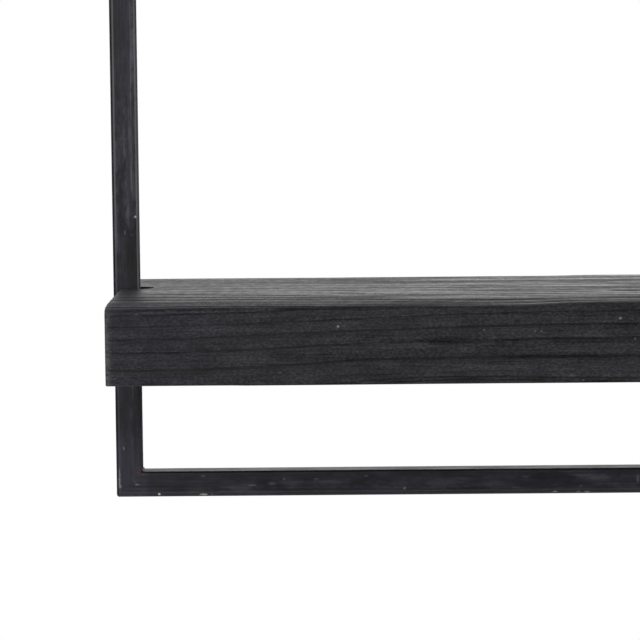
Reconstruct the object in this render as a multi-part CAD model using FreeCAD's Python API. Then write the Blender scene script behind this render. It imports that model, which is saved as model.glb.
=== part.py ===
import FreeCAD, Part

import os

# Wall-hung shelving unit: two thick planks carried in one closed frame of square steel tube.
# Millimetres. +X runs to the right, +Y runs back into the wall and +Z runs up.
# The origin lies on the wall, at the centre of the four keyhole entry holes.

# Frame of square tube, outside sizes
FRAME_WIDTH = 800.0
FRAME_HEIGHT = 600.0
TUBE_SIDE = 16.0
TUBE_WALL = 1.5
TUBE_CORNER = 1.8
FRAME_CORNER_ROUND = 2.0
RAIL_GAP = 68.0

# Planks
PLANK_THICKNESS = 47.5
PLANK_DEPTH = 200.0
PLANK_FRONT_ROUND = 3.0
PLANK_EASING = 0.8
TUBE_SETBACK = 117.5
TUBE_PROTRUSION = 4.5

# Slot in each plank end, and the room past the tube that lets the plank tilt into the closed frame
SLOT_CLEARANCE = 0.3
TILT_ROOM = 9.0

# Fillet weld in each inside corner of the frame, its crown as a share of its leg
CORNER_WELD_LEG = 1.0
WELD_CROWN = 0.62

# Support tabs under the planks, and the leg of their welds
TAB_LENGTH = 40.0
TAB_THICKNESS = 4.0
TAB_TIP_ROUND = 4.0
TAB_SCREW_INSET = 12.0
TAB_WELD_LEG = 3.0

# Pan-head screws up through the tabs
TAB_SCREW_DIAMETER = 4.0
TAB_SCREW_GRIP = 26.0
TAB_HEAD_DIAMETER = 8.0
TAB_HEAD_HEIGHT = 2.6
TAB_HEAD_RIM = 1.3
TAB_HOLE_CLEARANCE = 0.25

# Keyhole hanger plates let into the planks' backs
HANGER_INSET = 95.5
HANGER_THICKNESS = 2.0
HANGER_BORDER = 4.0
HANGER_CORNER = 3.0
HANGER_SCREW_SPACING = 36.0
HANGER_END = 7.0
KEY_ENTRY_DIAMETER = 9.0
KEY_SLOT_WIDTH = 4.6
KEY_RISE = 9.5
REBATE_CLEARANCE = 0.2
POCKET_MARGIN = 1.5
POCKET_DEPTH = 8.0

# Countersunk screws that hold the hanger plates
HANGER_SCREW_DIAMETER = 3.0
HANGER_SCREW_GRIP = 16.0
HANGER_HEAD_DIAMETER = 6.0
HANGER_HOLE_CLEARANCE = 0.2

# Cross recess of every screw, as shares of the head's diameter
RECESS_SPAN = 0.5
RECESS_WIDTH = 0.14
RECESS_DEPTH = 0.16

# Radial gap between a screw's shank and its pilot hole
PILOT_CLEARANCE = 0.05

# How far a cutting tool runs past the face that it opens
OVERRUN = 1.0

# Sizes that follow from the ones above
PLANK_LENGTH = FRAME_WIDTH - 2 * TUBE_PROTRUSION
SLOT_WIDTH = TUBE_SIDE + 2 * SLOT_CLEARANCE
SLOT_DEPTH = TUBE_SIDE - TUBE_PROTRUSION + TILT_ROOM
KEY_HEIGHT = KEY_ENTRY_DIAMETER / 2 + KEY_RISE + KEY_SLOT_WIDTH / 2
KEY_DROP = (KEY_HEIGHT - KEY_ENTRY_DIAMETER) / 2
HANGER_SPACING = PLANK_LENGTH - 2 * HANGER_INSET
HANGER_WIDTH = HANGER_SCREW_SPACING + 2 * HANGER_END
HANGER_HEIGHT = KEY_HEIGHT + 2 * HANGER_BORDER
WELD_LENGTH = TUBE_SIDE - 2 * TUBE_CORNER
TUBE_FLAT_X = FRAME_WIDTH / 2 - TUBE_SIDE
TAB_SCREW_X = TUBE_FLAT_X - TAB_LENGTH + TAB_SCREW_INSET

# Places that follow: the frame's plane, the unit's middle height and the planks' heights
FRAME_Y = -PLANK_DEPTH + TUBE_SETBACK + TUBE_SIDE / 2
UNIT_Z = KEY_DROP
PLANK_RISE = FRAME_HEIGHT / 2 - TUBE_SIDE - RAIL_GAP - PLANK_THICKNESS / 2
PLANK_Z = {"lower": UNIT_Z - PLANK_RISE, "upper": UNIT_Z + PLANK_RISE}
SIDES = {"left": -1, "right": 1}

V = FreeCAD.Vector
ORIGIN = V(0, 0, 0)
X_AXIS = V(1, 0, 0)
Y_AXIS = V(0, 1, 0)
Z_AXIS = V(0, 0, 1)


def moved(shape, x, y, z):
    """A copy of the shape, shifted."""
    copy = shape.copy()
    copy.translate(V(x, y, z))
    return copy


def turned(shape, axis, degrees):
    """A copy of the shape, turned about an axis through the origin."""
    copy = shape.copy()
    copy.rotate(ORIGIN, axis, degrees)
    return copy


def rounded_prism(width, height, radius, length):
    """A prism along +Z whose section is a rectangle with rounded corners, centred on Z."""
    block = Part.makeBox(width, height, length, V(-width / 2, -height / 2, 0))
    if radius <= 0:
        return block
    upright_edges = [edge for edge in block.Edges if abs(edge.tangentAt(edge.FirstParameter).z) > 0.5]
    return block.makeFillet(radius, upright_edges)


def obround_prism(width, rise, length):
    """A prism along +Z: a circle at the origin swept straight to +Y by the rise."""
    bar = Part.makeBox(width, rise, length, V(-width / 2, 0, 0))
    ends = [Part.makeCylinder(width / 2, length, V(0, y, 0)) for y in (0, rise)]
    return bar.fuse(ends).removeSplitter()


def facing_back(shape):
    """Stand a shape drawn on XY upright in XZ, so that its +Z end points to the front."""
    return turned(shape, X_AXIS, 90)


def straight_tube(length):
    """Hollow square tube along Z, centred on the origin."""
    bore_side = TUBE_SIDE - 2 * TUBE_WALL
    bore_corner = TUBE_CORNER - TUBE_WALL
    outside = rounded_prism(TUBE_SIDE, TUBE_SIDE, TUBE_CORNER, length)
    bore = rounded_prism(bore_side, bore_side, bore_corner, length + 2 * OVERRUN)
    tube = outside.cut(moved(bore, 0, 0, -OVERRUN))
    return moved(tube, 0, 0, -length / 2)


def mitre_mask(length):
    """The space that one frame member may fill: it narrows at 45 degrees towards +X."""
    outer_x = -TUBE_SIDE / 2 - OVERRUN
    inner_x = TUBE_SIDE / 2 + OVERRUN
    outer_z = length / 2 + OVERRUN
    inner_z = length / 2 - TUBE_SIDE - OVERRUN
    corners = [
        V(outer_x, -TUBE_SIDE, -outer_z),
        V(inner_x, -TUBE_SIDE, -inner_z),
        V(inner_x, -TUBE_SIDE, inner_z),
        V(outer_x, -TUBE_SIDE, outer_z),
    ]
    outline = Part.makePolygon(corners + corners[:1])
    return Part.Face(outline).extrude(V(0, 2 * TUBE_SIDE, 0))


def corner_grinding(length):
    """What is ground off at a member's upper outer corner, to round the welded frame."""
    reach = FRAME_CORNER_ROUND + OVERRUN
    low_x = -TUBE_SIDE / 2 - OVERRUN
    low_z = length / 2 - FRAME_CORNER_ROUND
    block = Part.makeBox(reach, 2 * TUBE_SIDE, reach, V(low_x, -TUBE_SIDE, low_z))
    centre = V(-TUBE_SIDE / 2 + FRAME_CORNER_ROUND, -TUBE_SIDE, low_z)
    return block.cut(Part.makeCylinder(FRAME_CORNER_ROUND, 2 * TUBE_SIDE, centre, Y_AXIS))


def frame_member(length):
    """Mitred tube along Z, its inner side towards +X, with the outer corners rounded."""
    member = straight_tube(length).common(mitre_mask(length))
    top = corner_grinding(length)
    bottom = turned(top, X_AXIS, 180)
    return member.cut([top, bottom])


def frame_parts():
    """The two uprights and the two rails, each placed in the frame."""
    upright = frame_member(FRAME_HEIGHT)
    rail = frame_member(FRAME_WIDTH)
    side_x = FRAME_WIDTH / 2 - TUBE_SIDE / 2
    rail_z = FRAME_HEIGHT / 2 - TUBE_SIDE / 2
    return {
        "left_upright": moved(upright, -side_x, FRAME_Y, UNIT_Z),
        "right_upright": moved(turned(upright, Z_AXIS, 180), side_x, FRAME_Y, UNIT_Z),
        "bottom_rail": moved(turned(rail, Y_AXIS, -90), 0, FRAME_Y, UNIT_Z - rail_z),
        "top_rail": moved(turned(rail, Y_AXIS, 90), 0, FRAME_Y, UNIT_Z + rail_z),
    }


def weld_bead(leg):
    """Fillet weld along Y in a corner at the origin, its legs along +X and +Z."""
    low_y = -WELD_LENGTH / 2
    crown = WELD_CROWN * leg
    toe_x = V(leg, low_y, 0)
    toe_z = V(0, low_y, leg)
    root = V(0, low_y, 0)
    edges = [
        Part.LineSegment(root, toe_x).toShape(),
        Part.Arc(toe_x, V(crown, low_y, crown), toe_z).toShape(),
        Part.LineSegment(toe_z, root).toShape(),
    ]
    return Part.Face(Part.Wire(edges)).extrude(V(0, WELD_LENGTH, 0))


def corner_welds():
    """One bead in each inside corner of the frame."""
    bead = weld_bead(CORNER_WELD_LEG)
    inside_z = FRAME_HEIGHT / 2 - TUBE_SIDE
    low_z = UNIT_Z - inside_z
    high_z = UNIT_Z + inside_z
    return {
        "lower_left_corner_weld": moved(bead, -TUBE_FLAT_X, FRAME_Y, low_z),
        "lower_right_corner_weld": moved(turned(bead, Z_AXIS, 180), TUBE_FLAT_X, FRAME_Y, low_z),
        "upper_left_corner_weld": moved(turned(bead, X_AXIS, 180), -TUBE_FLAT_X, FRAME_Y, high_z),
        "upper_right_corner_weld": moved(turned(bead, Y_AXIS, 180), TUBE_FLAT_X, FRAME_Y, high_z),
    }


def cross_recess(head_diameter):
    """Cross-shaped driver recess that opens downwards at the origin."""
    span = RECESS_SPAN * head_diameter
    width = RECESS_WIDTH * head_diameter
    depth = RECESS_DEPTH * head_diameter + OVERRUN
    bar = Part.makeBox(span, width, depth, V(-span / 2, -width / 2, -OVERRUN))
    return bar.fuse(turned(bar, Z_AXIS, 90))


def screw_shank(diameter, start, end):
    """Shank along +Z from start to end, with a conical point as long as it is wide."""
    body = Part.makeCylinder(diameter / 2, end - diameter - start, V(0, 0, start))
    point = Part.makeCone(diameter / 2, 0, diameter, V(0, 0, end - diameter))
    return body.fuse(point)


def tab_screw():
    """Pan-head screw along +Z, its head seated under z = 0: a short drum under a dome."""
    radius = TAB_HEAD_DIAMETER / 2
    dome_height = TAB_HEAD_HEIGHT - TAB_HEAD_RIM
    dome_radius = (radius ** 2 + dome_height ** 2) / (2 * dome_height)
    drum = Part.makeCylinder(radius, TAB_HEAD_HEIGHT, V(0, 0, -TAB_HEAD_HEIGHT))
    head = drum.common(Part.makeSphere(dome_radius, V(0, 0, dome_radius - TAB_HEAD_HEIGHT)))
    shank = screw_shank(TAB_SCREW_DIAMETER, 0, TAB_THICKNESS + TAB_SCREW_GRIP)
    recess = moved(cross_recess(TAB_HEAD_DIAMETER), 0, 0, -TAB_HEAD_HEIGHT)
    return head.fuse(shank).cut(recess)


def countersink():
    """The cone that a hanger screw's head fills, wide at z = 0 and narrow above."""
    wide = HANGER_HEAD_DIAMETER / 2
    narrow = HANGER_SCREW_DIAMETER / 2
    return Part.makeCone(wide, narrow, wide - narrow)


def hanger_screw():
    """Countersunk screw along +Z, its head flush with z = 0."""
    head_height = (HANGER_HEAD_DIAMETER - HANGER_SCREW_DIAMETER) / 2
    shank = screw_shank(HANGER_SCREW_DIAMETER, head_height, HANGER_THICKNESS + HANGER_SCREW_GRIP)
    return countersink().fuse(shank).cut(cross_recess(HANGER_HEAD_DIAMETER))


def hanger_plate():
    """Keyhole plate on XY, its wall side at z = 0, centred on the plank's thickness."""
    plate = rounded_prism(HANGER_WIDTH, HANGER_HEIGHT, HANGER_CORNER, HANGER_THICKNESS)
    through = HANGER_THICKNESS + 2 * OVERRUN
    entry = Part.makeCylinder(KEY_ENTRY_DIAMETER / 2, through)
    keyhole = entry.fuse(obround_prism(KEY_SLOT_WIDTH, KEY_RISE, through))
    plate = plate.cut(moved(keyhole, 0, -KEY_DROP, -OVERRUN))
    hole_radius = HANGER_SCREW_DIAMETER / 2 + HANGER_HOLE_CLEARANCE
    screw_hole = moved(Part.makeCylinder(hole_radius, through), 0, 0, -OVERRUN)
    seat = countersink().fuse(screw_hole)
    return plate.cut([moved(seat, side * HANGER_SCREW_SPACING / 2, 0, 0) for side in SIDES.values()])


def hanger_housing():
    """What is cut from a plank's back for one hanger: rebate, key pocket and pilot holes."""
    rebate = rounded_prism(
        HANGER_WIDTH + 2 * REBATE_CLEARANCE,
        HANGER_HEIGHT + 2 * REBATE_CLEARANCE,
        HANGER_CORNER + REBATE_CLEARANCE,
        HANGER_THICKNESS + OVERRUN,
    )
    pocket_width = KEY_ENTRY_DIAMETER + 2 * POCKET_MARGIN
    pocket = obround_prism(pocket_width, KEY_RISE, HANGER_THICKNESS + POCKET_DEPTH)
    pilot_length = HANGER_THICKNESS + HANGER_SCREW_GRIP + PILOT_CLEARANCE
    pilot = Part.makeCylinder(HANGER_SCREW_DIAMETER / 2 + PILOT_CLEARANCE, pilot_length)
    pilots = [moved(pilot, side * HANGER_SCREW_SPACING / 2, 0, 0) for side in SIDES.values()]
    cuts = [moved(pocket, 0, -KEY_DROP, 0)] + pilots
    return moved(rebate, 0, 0, -OVERRUN).fuse(cuts)


def end_slot():
    """Round-bottomed slot in the plank's right end, cut through the thickness."""
    height = PLANK_THICKNESS + 2 * OVERRUN
    straight = SLOT_DEPTH - SLOT_WIDTH / 2
    channel = Part.makeBox(straight + OVERRUN, SLOT_WIDTH, height, V(-straight, -SLOT_WIDTH / 2, 0))
    bottom = Part.makeCylinder(SLOT_WIDTH / 2, height, V(-straight, 0, 0))
    slot = channel.fuse(bottom)
    return moved(slot, PLANK_LENGTH / 2, FRAME_Y, -height / 2)


def plank_blank():
    """A plank about z = 0 before its cuts: the front top edge worn round, every other edge eased."""
    corner = V(-PLANK_LENGTH / 2, -PLANK_DEPTH, -PLANK_THICKNESS / 2)
    block = Part.makeBox(PLANK_LENGTH, PLANK_DEPTH, PLANK_THICKNESS, corner)
    front_top = V(0, -PLANK_DEPTH, PLANK_THICKNESS / 2)
    worn_edge = min(block.Edges, key=lambda edge: edge.CenterOfMass.distanceToPoint(front_top))
    worn = block.makeFillet(PLANK_FRONT_ROUND, [worn_edge])
    near_round = 2 * PLANK_FRONT_ROUND
    sharp = [edge for edge in worn.Edges if edge.CenterOfMass.distanceToPoint(front_top) > near_round]
    return worn.makeFillet(PLANK_EASING, sharp)


def plank():
    """One plank about z = 0: worn and eased edges, end slots, hanger housings and pilot holes."""
    blank = plank_blank()
    right_slot = end_slot()
    left_slot = right_slot.mirror(ORIGIN, X_AXIS)
    housing = facing_back(hanger_housing())
    pilot_length = TAB_SCREW_GRIP + PILOT_CLEARANCE + OVERRUN
    pilot = Part.makeCylinder(TAB_SCREW_DIAMETER / 2 + PILOT_CLEARANCE, pilot_length)
    pilot_z = -PLANK_THICKNESS / 2 - OVERRUN
    cuts = [left_slot, right_slot]
    for side in SIDES.values():
        cuts.append(moved(housing, side * HANGER_SPACING / 2, 0, 0))
        cuts.append(moved(pilot, side * TAB_SCREW_X, FRAME_Y, pilot_z))
    return blank.cut(cuts)


def support_tab():
    """Flat tab for the left upright, from x = 0 inwards, its top at z = 0."""
    bar = rounded_prism(2 * TAB_LENGTH, TUBE_SIDE, TAB_TIP_ROUND, TAB_THICKNESS)
    outside = Part.makeBox(
        TAB_LENGTH + OVERRUN, TUBE_SIDE + 2 * OVERRUN, TAB_THICKNESS + 2 * OVERRUN,
        V(-TAB_LENGTH - OVERRUN, -TUBE_SIDE / 2 - OVERRUN, -OVERRUN),
    )
    hole_radius = TAB_SCREW_DIAMETER / 2 + TAB_HOLE_CLEARANCE
    hole = Part.makeCylinder(hole_radius, TAB_THICKNESS + 2 * OVERRUN)
    hole = moved(hole, TAB_LENGTH - TAB_SCREW_INSET, 0, -OVERRUN)
    return moved(bar.cut([outside, hole]), 0, 0, -TAB_THICKNESS)


def tab_parts():
    """The four support tabs, the bead under each and the screw up through each."""
    left_tab = support_tab()
    tabs = {"left": left_tab, "right": turned(left_tab, Z_AXIS, 180)}
    bead = weld_bead(TAB_WELD_LEG)
    beads = {"left": turned(bead, X_AXIS, 180), "right": turned(bead, Y_AXIS, 180)}
    screw = tab_screw()
    parts = {}
    screws = []
    for level, plank_z in PLANK_Z.items():
        seat_z = plank_z - PLANK_THICKNESS / 2
        under_z = seat_z - TAB_THICKNESS
        for side, sign in SIDES.items():
            name = level + "_" + side + "_tab"
            parts[name] = moved(tabs[side], sign * TUBE_FLAT_X, FRAME_Y, seat_z)
            parts[name + "_weld"] = moved(beads[side], sign * TUBE_FLAT_X, FRAME_Y, under_z)
            screws.append(moved(screw, sign * TAB_SCREW_X, FRAME_Y, under_z))
    parts["tab_screws"] = Part.makeCompound(screws)
    return parts


def hanger_parts():
    """The four keyhole plates and the screws that hold them."""
    plate = facing_back(hanger_plate())
    screw = facing_back(hanger_screw())
    parts = {}
    screws = []
    for level, plank_z in PLANK_Z.items():
        for side, sign in SIDES.items():
            hanger_x = sign * HANGER_SPACING / 2
            parts[level + "_" + side + "_hanger"] = moved(plate, hanger_x, 0, plank_z)
            for screw_sign in SIDES.values():
                screw_x = hanger_x + screw_sign * HANGER_SCREW_SPACING / 2
                screws.append(moved(screw, screw_x, 0, plank_z))
    parts["hanger_screws"] = Part.makeCompound(screws)
    return parts


def plank_parts():
    """The two planks, alike and at their two heights."""
    blank = plank()
    return {level + "_plank": moved(blank, 0, 0, plank_z) for level, plank_z in PLANK_Z.items()}


def main():
    os.makedirs("parts", exist_ok=True)
    parts = {}
    for group in (plank_parts, frame_parts, corner_welds, tab_parts, hanger_parts):
        parts.update(group())
    for name, shape in parts.items():
        if not shape.isValid():
            raise ValueError(name + " is not a valid solid")
        shape.exportStep("parts/" + name + ".step")
        print(name, len(shape.Solids), "solids", round(shape.Volume, 1), "mm3")


main()
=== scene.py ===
"""Looks of a wall shelving unit: brushed, black-stained planks hung in a frame of black square tube."""
import math

import bmesh
import bpy
import numpy as np
from mathutils import Matrix, Vector


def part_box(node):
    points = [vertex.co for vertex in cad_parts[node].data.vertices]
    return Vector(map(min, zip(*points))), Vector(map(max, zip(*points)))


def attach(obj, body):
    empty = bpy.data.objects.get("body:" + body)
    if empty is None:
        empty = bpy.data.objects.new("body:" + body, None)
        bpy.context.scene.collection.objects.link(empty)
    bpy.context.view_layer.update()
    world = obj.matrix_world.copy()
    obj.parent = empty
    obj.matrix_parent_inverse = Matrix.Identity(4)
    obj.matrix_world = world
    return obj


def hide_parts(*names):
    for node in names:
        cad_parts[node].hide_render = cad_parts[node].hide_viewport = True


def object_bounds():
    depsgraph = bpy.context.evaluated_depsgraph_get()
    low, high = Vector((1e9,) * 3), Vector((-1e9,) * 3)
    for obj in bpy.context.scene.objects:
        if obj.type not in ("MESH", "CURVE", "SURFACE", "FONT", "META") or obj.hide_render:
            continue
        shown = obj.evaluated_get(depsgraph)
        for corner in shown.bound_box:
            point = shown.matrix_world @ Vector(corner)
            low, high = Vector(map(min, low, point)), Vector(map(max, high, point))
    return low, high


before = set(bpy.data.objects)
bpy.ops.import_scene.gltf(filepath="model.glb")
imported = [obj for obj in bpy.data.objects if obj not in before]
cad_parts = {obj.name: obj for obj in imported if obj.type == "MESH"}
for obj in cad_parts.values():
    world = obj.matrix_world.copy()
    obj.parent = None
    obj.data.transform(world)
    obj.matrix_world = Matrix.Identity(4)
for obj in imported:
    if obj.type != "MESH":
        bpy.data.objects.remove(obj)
CAD_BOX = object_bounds()

bl_info = {
    "name": "Tube and Plank Wall Shelf",
    "version": (1, 0, 0),
    "blender": (4, 5, 0),
    "location": "View3D > Sidebar > Wall Shelf",
    "description": "Dresses a wall shelving unit of square steel tube and thick stained planks",
    "category": "Add Mesh",
}

MM = 0.001

LEVELS = ("lower", "upper")
SIDES = ("left", "right")
CORNERS = [level + "_" + side for level in LEVELS for side in SIDES]
UPRIGHTS = ("left_upright", "right_upright")
RAILS = ("bottom_rail", "top_rail")

# The frame's own places, in metres.
TUBE_LOW, TUBE_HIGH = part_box("right_upright")
TUBE_HALF = (TUBE_HIGH.x - TUBE_LOW.x) / 2
UPRIGHT_X = (TUBE_HIGH.x + TUBE_LOW.x) / 2
FRAME_Y = (TUBE_HIGH.y + TUBE_LOW.y) / 2
FRAME_MID_Z = (TUBE_HIGH.z + TUBE_LOW.z) / 2
RAIL_RISE = (TUBE_HIGH.z - TUBE_LOW.z) / 2 - TUBE_HALF
SHELF_LOW, SHELF_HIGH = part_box("lower_plank")
SHELF_MID_Z = (SHELF_LOW.z + SHELF_HIGH.z) / 2
SHELF_RISE = FRAME_MID_Z - SHELF_MID_Z
PLANK_HALF_THICK = (SHELF_HIGH.z - SHELF_LOW.z) / 2

# Steps of the plank's surface grid: front, top, back and bottom, each corner, the length, its ends. The
# grading draws the steps of a side together at its start; a side with 1 has even steps.
SIDE_STEPS = (84, 240, 84, 220)
SIDE_GRADING = (1.0, 1.3, 1.0, 1.0)
CORNER_STEPS = 8
LENGTH_STEPS = 98
END_ROUND_STEPS = 4
END_FACE_STEPS = 4

# What is cut from a plank, in millimetres: the end slots, the hanger rebates and the key pockets.
SLOT_CLEARANCE = 0.3
SLOT_DEPTH = 20.5
REBATE_CLEARANCE = 0.2
REBATE_CORNER = 3.2
POCKET_WIDTH = 12.0
POCKET_RISE = 9.5
POCKET_DROP = 3.65
POCKET_DEPTH = 8.0
CUT_OVERRUN = 1.0

# The steps of a cut's half circle, how near points lie that are merged, in millimetres, and the angle
# past which an edge stays sharp.
CUT_ARC_STEPS = 24
MERGE_DISTANCE = 0.001
SMOOTH_ANGLE = math.radians(48)

# How each plank lay in its log, in millimetres from the plank's own middle. The pith runs beside the
# plank and steps up or down along it: each step is its middle, its half length and half its rise.
LOGS = {
    "lower": {
        "pith_y": -20.0,
        "pith_z": -45.0,
        "ring_start": 0.26,
        "steps": ((-265.0, 80.0, 4.1), (150.0, 115.0, -2.6)),
        "corner_wear": 0.15,
        "seed": 11,
    },
    "upper": {
        "pith_y": 26.0,
        "pith_z": -57.0,
        "ring_start": 0.12,
        "steps": ((-120.0, 130.0, -4.2), (250.0, 80.0, 3.0)),
        "corner_wear": 0.2,
        "seed": 23,
    },
}

# Waves of the rings: radians per millimetre along x, y and z, and height in millimetres.
RING_WAVES = ((0.012, 0.09, 0.05, 0.22), (0.031, 0.04, 0.11, 0.16), (0.006, 0.02, 0.03, 0.35))

# The brushed rings: how many differ, how soft they are, the power of the rise from a ring's soft start to
# its hard end, and the middle and width of its groove, as shares of the ring.
RING_LIMIT = 64
RING_SOFTNESS = (0.2, 1.8)
RING_CURVE = 1.5
GROOVE_MIDDLE = 0.03
GROOVE_WIDTH = 0.05

# Layers of streaks: the share of each, and the width of its bell curve along and across, in grid steps.
FIBRE_STREAKS = ((0.6, 6, 1.1), (0.4, 3, 2.5))
HOLLOW_STREAKS = ((0.6, 10, 5), (0.4, 12, 2.5))
KNOCK_STREAKS = ((1.0, 2.2, 12),)
KNOCK_FLOOR = 0.15

# The share of a plank's surface that the plane left flat, and how far below its true place that lies, in
# millimetres.
PLANED_SHARE = 0.03
PLANED_DEPTH = 0.01

# The back top edge of the lower plank is a little low along the left part of its length. In millimetres.
WANE_END_X = -108.0
WANE_SOFT_LENGTH = 9.0
WANE_REACH = 16.0

# The front top edge is worn to a slope in three parts, from a short steep one to a long flat one, each
# with its share and the length over which it dies away. It is worn more on the left, and unevenly
# everywhere, in waves of so many radians per millimetre.
WEAR_SLOPES = ((0.36, 3.5), (0.42, 10.0), (0.22, 32.0))
WEAR_END_X = -136.0
WEAR_SOFT_LENGTH = 14.0
WEAR_LEFT = 1.0
WEAR_RIGHT = 0.15
WEAR_UNEVENNESS = 0.2
WEAR_WAVES = (0.021, 0.053)

# A plank's left front corner is worn down further, with this reach along the plank and across it. All
# wear of the top fades out over this height below it. In millimetres.
CORNER_WEAR_ALONG = 22.0
CORNER_WEAR_ACROSS = 12.0
WEAR_FADE = 10.0

# A noise's middle level, white, and the detail of the noises in the node groups.
NOISE_MIDDLE = 0.5
WHITE = (1.0, 1.0, 1.0, 1.0)
CLOUD_DETAIL = 3.0
RAG_DETAIL = 2.0
SCRATCH_DETAIL = 1.0

# The node groups: the full part of a speck's radius, how much finer and how strong the fine clouds are,
# between which shares of its half size a mark fades, and the thinness, the breaks and the coarseness of
# scratches.
SPECK_CORE = 0.4
FINE_CLOUD_CELLS = 5.3
FINE_CLOUD_SHARE = 0.35
MARK_EDGE = (1.25, 0.55)
SCRATCH_EDGE = (0.014, 0.002)
SCRATCH_BREAKS = (0.52, 0.66)
BREAK_CELLS = 0.21

# How ragged the edges of placed marks are, in cells per metre and in millimetres, and how far marks on
# wood and on steel reach behind the front, in millimetres.
RAG_CELLS = 900.0
RAGGEDNESS = 1.6
NICK_DEPTH = 2.0
MARK_DEPTH = 4.0

# Nicks and rubs that show bare wood on the lower plank's front, in millimetres: x, height above the
# plank's middle, half width, half height, and the strength.
NICKS = (
    (-260.0, 10.5, 0.80, 0.75, 0.80), (-329.6, -2.4, 0.50, 0.50, 0.16), (-294.0, -16.1, 0.60, 0.50, 0.30),
    (-96.6, 14.0, 0.90, 0.75, 0.60), (-175.3, 7.6, 0.60, 0.55, 0.32), (-142.3, 6.8, 0.70, 0.60, 0.34),
    (-146.0, 6.9, 0.60, 0.50, 0.28), (-88.0, 2.0, 0.55, 0.50, 0.40), (-125.3, -19.5, 2.6, 0.90, 0.09),
    (-118.2, -22.0, 1.1, 0.70, 0.16), (-385.0, 5.7, 2.2, 0.50, 0.12), (-377.0, 18.4, 1.8, 0.60, 0.12),
)

# Chips, scuffs and smudges on the lower left of the frame's front, in millimetres: x, z, half width, half
# height, and the strength.
STEEL_MARKS = {
    "upright_steel": (
        (-385.6, -119.9, 0.75, 0.75, 0.75), (-392.3, -129.9, 0.6, 1.4, 0.14),
        (-387.7, -131.2, 1.0, 0.8, 0.08), (-395.1, -265.3, 0.8, 1.1, 0.30), (-393.6, -263.0, 0.4, 1.8, 0.10),
        (-397.9, -284.1, 0.6, 6.5, 0.34), (-397.7, -289.6, 0.9, 1.2, 0.34), (-389.5, -285.5, 1.2, 0.7, 0.05),
        (-389.0, -225.0, 0.9, 9.0, 0.04), (-387.2, -62.0, 2.6, 22.0, 0.07), (-386.6, -94.0, 1.8, 16.0, 0.09),
        (-393.4, -71.2, 2.6, 1.4, 0.035), (-396.9, -74.5, 1.4, 2.2, 0.045), (-392.0, -74.9, 2.4, 1.2, 0.035),
    ),
    "rail_steel": (
        (-373.2, -294.7, 0.85, 0.85, 0.95), (-345.4, -294.9, 2.9, 0.55, 0.62),
        (-340.2, -295.1, 1.1, 0.5, 0.30), (-345.6, -283.3, 1.6, 0.8, 0.11), (-314.9, -289.5, 2.8, 0.6, 0.10),
        (-302.3, -288.4, 2.6, 1.0, 0.09), (-294.5, -285.8, 0.9, 0.8, 0.15), (-274.5, -285.9, 1.7, 0.7, 0.18),
        (-242.9, -284.1, 1.2, 0.8, 0.07), (-219.0, -292.0, 0.8, 0.9, 0.17), (-143.3, -285.3, 2.6, 1.0, 0.07),
        (-124.5, -295.0, 1.9, 0.5, 0.42), (-109.8, -295.0, 1.3, 0.6, 0.26), (-104.4, -295.1, 1.9, 0.6, 0.26),
        (-108.1, -291.5, 1.0, 1.0, 0.06), (-96.0, -286.5, 7.0, 1.3, 0.05), (-72.4, -287.0, 1.0, 3.0, 0.14),
        (-388.5, -286.9, 0.9, 0.7, 0.15), (-387.0, -288.5, 1.4, 0.8, 0.20),
    ),
    "tab_steel": (),
}

# The wood's noises: cells per metre along x, y and z, detail and roughness.
WOOD_NOISES = {
    "ring_rags": ((45.0, 320.0, 320.0), 2.0, 0.5),
    "ring_strength": ((11.0, 60.0, 60.0), 2.0, 0.5),
    "ring_breaks": ((60.0, 420.0, 420.0), 3.0, 0.6),
    "fibre": ((22.0, 1500.0, 1500.0), 3.0, 0.6),
    "mottle": ((40.0, 110.0, 110.0), 4.0, 0.6),
    "grit": ((520.0, 950.0, 950.0), 2.0, 0.6),
    "bands": ((7.0, 130.0, 130.0), 4.0, 0.7),
    "patches": ((190.0, 90.0, 90.0), 3.0, 0.6),
    "end_patches": ((220.0, 420.0, 420.0), 3.0, 0.6),
}

# What those noises do: the noise, from where to where in it, and the levels there.
WOOD_SPANS = {
    "ring_strength": ("ring_strength", 0.34, 0.54, 0.7, 1.0),
    "ring_breaks": ("ring_breaks", 0.34, 0.56, 0.7, 1.0),
    "fibre_tone": ("fibre", 0.25, 0.75, 0.66, 1.34),
    "mottle_tone": ("mottle", 0.3, 0.7, 0.74, 1.26),
    "grit_tone": ("grit", 0.3, 0.75, 0.55, 1.60),
    "band_gloss": ("bands", 0.34, 0.66, -1.0, 1.0),
    "patch_gloss": ("patches", 0.3, 0.7, -0.055, 0.055),
    "end_rub": ("end_patches", 0.38, 0.62, 0.2, 1.0),
}

# How dark a ring's line is from the start of the ring (0) to its end (1), and how far its edge strays.
RING_LINE = ((0.0, 0.80), (0.03, 0.20), (0.07, 0.0), (0.70, 0.0), (0.90, 0.28), (0.945, 1.0), (0.985, 1.0))
RING_RAGGEDNESS = 0.08

# Where along the planks the stain turns bluer, in millimetres, and the specks of bare wood.
BLUE_REACH = (-290.0, -400.0)
WOOD_SPECKS = {"Cells": 95.0, "Radius": 0.045, "Share": 0.03, "Strength": 0.5}

# How strongly the stain is rubbed off beside an end face and over which lengths from it, and how deep
# that face counts, in millimetres.
END_RUB = 0.26
END_RUB_REACH = (4.5, 0.8)
END_FACE_DEPTH = 0.02

# The strip behind the front edge that handling has dulled, in millimetres from the front: where it fades
# out, where it sets in, and by how much it is rougher.
DULL_STRIP_END = (42.0, 4.0)
DULL_STRIP_START = (0.3, 2.5)
FRONT_DULLNESS = 0.11

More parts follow.
